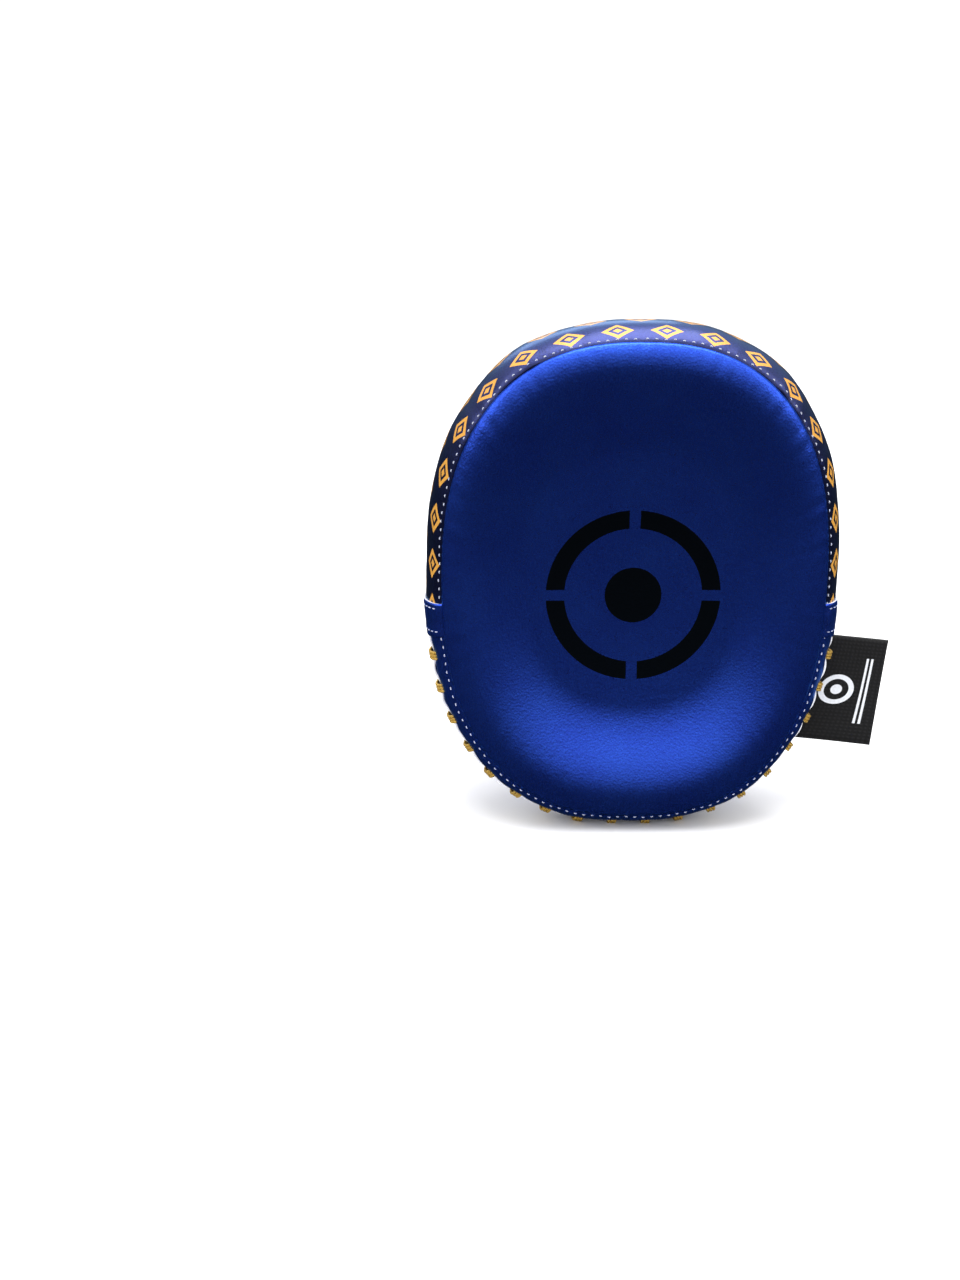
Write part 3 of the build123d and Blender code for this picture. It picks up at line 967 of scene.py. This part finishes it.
def sleeve_surface(k, rows=190, columns=110):
    """A sleeve's outer surface with broad folds, and fine creases that crowd its seams. Also its
    normals, and the distance of each point across the leather from the crest."""
    z = np.linspace(finger_ends[k], cuff_z, rows)
    points = spline_across(sleeve_control(k, z), columns)
    normal = grid_normals(points)
    normal *= np.sign(normal[rows // 2, columns // 2, 1])
    steps = np.linalg.norm(np.diff(points, axis=1), axis=2)
    walked = np.concatenate([np.zeros((rows, 1)), steps.cumsum(axis=1)], axis=1)
    crest_column = int(np.argmin(np.abs(points[rows // 2, :, 0] - finger_crests[k])))
    across = walked - walked[:, crest_column:crest_column + 1]
    along = points[:, :, 2]
    folds = fold_relief * wander(across, along, 40 + k, 24, 60)
    creases = np.minimum(0.5, np.abs(wander(across * 1.3, along * 0.8, 50 + k, 6, 15))) - 0.25
    near_seam = np.exp(-((along - cross_seam_z) / 9) ** 2) + 0.5 * np.exp(-((along + 4) / 16) ** 2)
    held = smooth(walked, 2, 9) * smooth(walked[:, -1:] - walked, 2, 9)
    drawn = seam_groove * np.exp(-((along - cross_seam_z) / 1.3) ** 2)
    move = folds * held + creases * (0.25 + near_seam) * held - drawn
    return points + normal * move[:, :, None], normal, across


def opened(points, across, faces, holes):
    """The faces left when those inside each vent hole are cut out."""
    for hole_across, hole_z in holes:
        far = np.hypot(across - hole_across, points[:, :, 2] - hole_z).ravel()
        faces = faces[far[faces].mean(axis=1) > vent_radius]
    return faces


def vent_rims(points, normal, across, holes):
    """The raw rim of each vent hole: a thin ring on the surface about the hole's middle."""
    angle = np.linspace(0, 2 * np.pi, 25)[:, None]
    rings = []
    for hole_across, hole_z in holes:
        far = np.hypot(across - hole_across, points[:, :, 2] - hole_z)
        row, column = np.unravel_index(np.argmin(far), far.shape)
        side = points[row, column + 1] - points[row, column - 1]
        side /= np.linalg.norm(side)
        up = np.cross(normal[row, column], side)
        middle = points[row, column] - 0.15 * normal[row, column]
        ring = middle + vent_radius * (np.cos(angle) * side + np.sin(angle) * up)
        rings.append(tube(ring[None], vent_rim_radius))
    return rings


def sleeve_tracks(k, points, normal):
    """The rows of stitches that show on a sleeve: the cross seam, two rows along the palm end,
    and rows down its near edge, its lap and, on the outer fingers, its outer edge."""
    rows, columns = points.shape[:2]
    z_line = points[:, 0, 2]

    def row_at(z):
        """The grid row whose height is nearest."""
        return int(np.argmin(np.abs(z_line - z)))

    def row_below_end(drop):
        """The grid row at a distance from the finger end."""
        return int(rows * drop / (finger_ends[k] - cuff_z))

    shown = slice(3, columns - 3) if k == 3 else slice(3, int(columns * 0.62))
    places = [(row_at(z), shown) for z in (cross_seam_z, cuff_z + 1.8, cuff_z + 4.2)]
    edge_rows = slice(2, rows - 2) if k == 0 else slice(2, row_below_end(finger_ends[k] - 22))
    places.append((edge_rows, 3))
    if k == 0:
        places.append((edge_rows, 8))
    if k == 3:
        places.append((slice(2, rows - 2), columns - 4))
    if k > 0:
        places.append((slice(row_below_end(finger_ends[k] - 2), rows - 3), 9))
    return [(points[place], normal[place]) for place in places]


glove_rows, rims = [], []
for k, finger in enumerate(finger_names):
    points, normal, across = sleeve_surface(k)
    faces = grid_faces(*points.shape[:2])
    first, second, third, fourth = points.reshape(-1, 3)[faces[len(faces) // 2]]
    if np.cross(third - first, fourth - second)[1] < 0:
        faces = faces[:, ::-1]
    faces = opened(points, across, faces, vents[finger])
    strip = mesh_piece(finger + "_sleeve", points, faces, soft_leather)
    thicken(strip, sleeve_leather, raw_edge, raw_inside=True)
    seated(strip, "metallic_leather", finger + "_finger_sleeve")
    rims += vent_rims(points, normal, across, vents[finger])
    glove_rows += [stitches(*track, **glove_stitch) for track in sleeve_tracks(k, points, normal)]
points, faces, _ = joined(rims)
seated(mesh_piece("vent_rims", points, faces, raw_edge), "metallic_leather")
thread_piece("glove_stitches", glove_rows)

# ------------------------
# Patch stitches: the same white thread, in one row along each edge of the palm patch that shows
# past the sleeves. It holds the patch down on the back panel.
edge_inset = 2.0
step_up = 6.0


def patch_row(x, z):
    """Stitches along a line on the palm patch."""
    x, z = np.broadcast_arrays(x, z)
    track = np.stack([x, base(x, z), z], axis=-1)
    return stitches(track, np.tile([0.0, 1.0, 0.0], (len(x), 1)), **glove_stitch)


patch_rows = [patch_row(np.linspace(patch_x[k] + 1.5, patch_x[k + 1] - 1.0, 80),
                        finger_ends[k] + patch_margin - edge_inset) for k in range(4)]
for x_edge, low_end, high_end in (
        (patch_x[0] + edge_inset, cuff_z + edge_inset, finger_ends[0] + edge_inset),
        (patch_x[1] + edge_inset, finger_ends[0] + step_up, finger_ends[1] + edge_inset),
        (patch_x[3] - edge_inset, finger_ends[3] + step_up, finger_ends[2] + edge_inset),
        (patch_x[4] - edge_inset, cuff_z + edge_inset, finger_ends[3] + edge_inset)):
    patch_rows.append(patch_row(x_edge, np.linspace(low_end, high_end, 120)))
thread_piece("patch_stitches", patch_rows)

# ------------------------
# Side label: a black satin-woven ribbon, folded double and caught in the side wall by its two
# cut ends. A plain woven ring and two bars are its mark.
label_top = -31.5
label_height = 51.0
label_tip_x = 123.0
label_tip_drop = 3.0
label_depth = 24.0
label_lean = math.radians(7.5)
label_thickness = 1.1
label_root_inset = 2.0
label_wave = 0.9
label_uv_size = (0.030, 0.052)
fold_from = 0.97
rib_mm = 1.767
# The mark's place and sizes are in m on the label's UV map.
mark_middle = (0.012, 0.026, 0)
mark_ring, mark_ring_half = 0.0062, 0.0011
mark_dot = 0.0024
mark_bars, bar_half_width, bar_half_length = (0.0105, 0.0125), 0.0005, 0.016


def woven_label_material():
    """Polyester satin label: black, with fine ribs both ways, and a mark woven in white. The ribs
    are drawn at 1.8 mm, coarser than real ones, to show. A wave repeats every pi / 10 units."""
    material, tree, shader = new_material("black_woven_label")
    place = add(tree, "UVMap", uv_map="pattern")
    warp, weft = [add(tree, "TexWave", {"Vector": place, "Scale": 100 * math.pi / rib_mm},
                      bands_direction=way).outputs["Fac"] for way in "XY"]
    weave = add(tree, "Math", {0: warp, 1: weft}, operation="MULTIPLY")
    middle = add(tree, "VectorMath", {0: place, 1: mark_middle}, operation="SUBTRACT")
    far = add(tree, "VectorMath", {0: middle}, operation="LENGTH").outputs["Value"]
    ring = add(tree, "Math", {0: far, 1: mark_ring, 2: mark_ring_half}, operation="COMPARE")
    dot = add(tree, "Math", {0: far, 1: mark_dot}, operation="LESS_THAN")
    parts = add(tree, "SeparateXYZ", {0: middle})
    inside = add(tree, "Math", {0: parts.outputs["Y"], 1: 0.0, 2: bar_half_length},
                 operation="COMPARE")
    first, second = [add(tree, "Math", {0: parts.outputs["X"], 1: x, 2: bar_half_width},
                         operation="COMPARE") for x in mark_bars]
    bars = add(tree, "Math", {0: first, 1: second}, operation="MAXIMUM")
    bars = add(tree, "Math", {0: bars, 1: inside}, operation="MULTIPLY")
    mark = add(tree, "Math", {0: ring, 1: dot}, operation="MAXIMUM")
    mark = add(tree, "Math", {0: mark, 1: bars}, operation="MAXIMUM")
    # The ground is painted light: lighter where the ribs cross, as a painted sheen on their crowns, and
    # darker between them, as painted shade.
    ground = add(tree, "Mix", {"Factor": weave, "A": linear("#040406"), "B": linear("#121217")},
                 data_type="RGBA").outputs[2]
    yarn = add(tree, "Mix", {"Factor": mark, "A": ground, "B": linear("#d5d8de")},
               data_type="RGBA").outputs[2]
    bump = add(tree, "Bump", {"Height": weave, "Strength": 0.5, "Distance": 0.0002})
    feed(tree, shader, {"Base Color": yarn, "Normal": bump, "Roughness": 0.6, "Sheen Weight": 0.1})
    return material


def label_surface(rows=60, columns=70):
    """A closed flat tube round the label: out along its front, round the fold, back behind it.
    It leaves the side wall behind the lacing, waves by 0.9 mm, and its fold is a half circle."""
    v = np.linspace(0, 1, rows)[:, None]
    top_share, low_share = share_at(label_top), share_at(label_top - label_height)
    root_x, root_z = oval(top_share + (low_share - top_share) * v, label_root_inset)
    u = np.linspace(0, 1, columns)
    loop = np.concatenate([u, u[::-1]])[None]
    side = np.concatenate([-np.ones(columns), np.ones(columns)])[None]
    tip_x = label_tip_x - math.tan(label_lean) * label_height * v
    tip_z = label_top - label_tip_drop - label_height * v
    x = root_x + (tip_x - root_x) * loop
    z = root_z + (tip_z - root_z) * loop
    y_root = bend(root_x, root_z) - dome_rise - band_depth + label_depth
    past = np.clip((loop - fold_from) / (1 - fold_from), 0, 1)
    fold = np.sqrt(np.clip(1 - past ** 2, 0.02, 1))
    rim = np.sqrt(np.clip(1 - (2 * v - 1) ** 16, 0.02, 1))
    wave = label_wave * np.sin(2.2 * loop + 1.5 * v) * loop
    y = y_root + wave + side * label_thickness / 2 * fold * rim
    points = np.stack(np.broadcast_arrays(x, y, z), axis=-1)
    uv = np.stack(np.broadcast_arrays(label_uv_size[0] * loop, label_uv_size[1] * (1 - v)), axis=-1)
    return points, uv


points, uv = label_surface()
faces = grid_faces(*points.shape[:2], True)
faces = turned_out(points, faces, points.reshape(-1, 3).mean(axis=0))
label = mesh_piece("woven_label", points, faces, woven_label_material(), uv=uv)
ends = bmesh.new()
ends.from_mesh(label.data)
bmesh.ops.holes_fill(ends, edges=[e for e in ends.edges if e.is_boundary])
bmesh.ops.recalc_face_normals(ends, faces=ends.faces)
ends.to_mesh(label.data)
ends.free()
seated(label, "woven_label", "side_label", "label_sewn_edge", body=None)
hinge = frame["joints"][0]
hinge_axis = np.array(hinge["axis"]) / np.linalg.norm(hinge["axis"])
out = np.cross(hinge_axis, [0, -1, 0])
out *= np.sign(out[0])
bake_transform(label)
